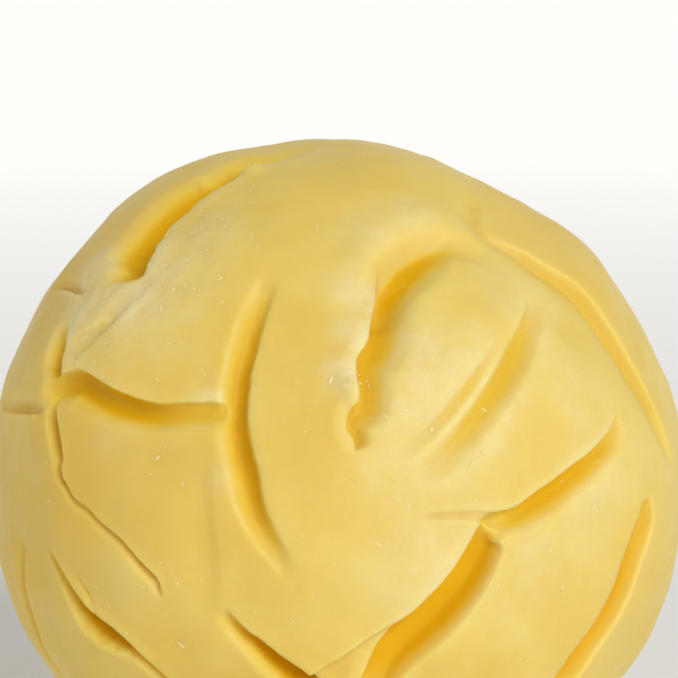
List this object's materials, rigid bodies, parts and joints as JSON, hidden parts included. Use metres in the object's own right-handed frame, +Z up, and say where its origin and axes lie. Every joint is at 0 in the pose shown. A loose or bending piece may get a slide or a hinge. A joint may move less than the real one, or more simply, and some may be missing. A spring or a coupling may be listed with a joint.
{
  "type": "ball of butter",
  "caption": "Hand-shaped round of yellow butter, pressed all over with scoops, troughs and creases, resting on a small flat spot.",
  "frame": {"origin": "centre of the bounding box's underside, on the surface the ball rests on", "axes": "+Z up; the side with the boldest press marks faces -Y, and +X is to its right"},
  "size_m": [0.1042, 0.1044, 0.0999],
  "materials": {
    "butter": "satin"
  },
  "bodies": {
    "root": {"butter": "butter"}
  },
  "joints": []
}
